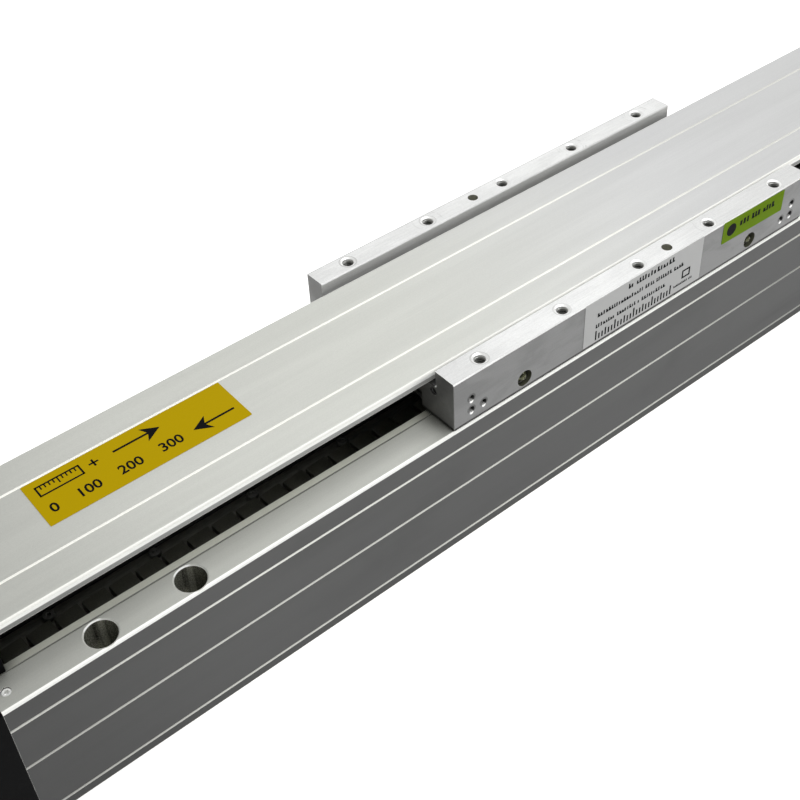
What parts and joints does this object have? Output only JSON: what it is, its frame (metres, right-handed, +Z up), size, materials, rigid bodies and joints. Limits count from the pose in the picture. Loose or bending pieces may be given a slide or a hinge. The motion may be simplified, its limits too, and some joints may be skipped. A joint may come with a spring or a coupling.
{
  "type": "linear module",
  "caption": "Low aluminium linear motor module: a flat cover over guide rails and a magnet track, and a sliding carriage whose tapped bars stand beside the cover.",
  "frame": {"origin": "under the middle of the base, on the surface it stands on, with the carriage at mid-stroke", "axes": "+X along the travel, towards the end with the cable grommet; +Z up, out of the cover; +Y across, towards the encoder's side"},
  "size_m": [0.528, 0.08, 0.076],
  "materials": {
    "anodised_aluminium": "bead-blasted and clear anodised, matt",
    "milled_aluminium": "milled, fine straight cutter marks",
    "black_anodised": "black anodised, satin",
    "rail_steel": "ground",
    "screw_steel": "zinc plated",
    "yoke_steel": "dark, lightly oiled",
    "magnet_black": "epoxy coated",
    "copper": "enamelled wire",
    "potting": "cast resin, semi-matt",
    "rubber": "matt",
    "cap_plastic": "moulded",
    "sensor_plastic": "moulded",
    "flag_steel": "bent sheet",
    "brass": "turned",
    "scale_steel": "ruled steel tape"
  },
  "bodies": {
    "base": {"base_extrusion": "anodised_aluminium", "top_cover": "anodised_aluminium", "left_end_plate": "black_anodised", "right_end_plate": "black_anodised", "cable_grommet": "rubber", "left_cover_support": "black_anodised", "right_cover_support": "black_anodised", "left_buffers": "rubber", "right_buffers": "rubber", "end_plate_screws": "screw_steel", "support_screws": "screw_steel", "ledge_set_screws": "screw_steel", "cover_screws": "screw_steel", "front_guide_rail": "rail_steel", "rear_guide_rail": "rail_steel", "rail_screws": "screw_steel", "magnet_yokes": "yoke_steel", "magnets": "magnet_black", "yoke_screws": "screw_steel", "encoder_scale": "scale_steel", "left_limit_sensor": "sensor_plastic", "right_limit_sensor": "sensor_plastic", "sensor_screws": "screw_steel"},
    "carriage": {"carriage_table": "milled_aluminium", "front_riser": "milled_aluminium", "rear_riser": "milled_aluminium", "riser_screws": "screw_steel", "front_left_guide_block": "rail_steel", "front_right_guide_block": "rail_steel", "rear_left_guide_block": "rail_steel", "rear_right_guide_block": "rail_steel", "front_left_block_caps": "cap_plastic", "front_right_block_caps": "cap_plastic", "rear_left_block_caps": "cap_plastic", "rear_right_block_caps": "cap_plastic", "block_screws": "screw_steel", "coil_core": "yoke_steel", "coil_windings": "copper", "coil_potting": "potting", "coil_plate": "milled_aluminium", "coil_screws": "screw_steel", "encoder_head": "sensor_plastic", "encoder_bracket": "milled_aluminium", "encoder_screws": "screw_steel", "left_sensor_flag": "flag_steel", "right_sensor_flag": "flag_steel", "flag_screws": "screw_steel", "grease_nipples": "brass"}
  },
  "joints": [
    {"name": "carriage_slide", "type": "slide", "parent": "base", "child": "carriage", "axis": [1, 0, 0], "range_m": [-0.15, 0.15]}
  ]
}
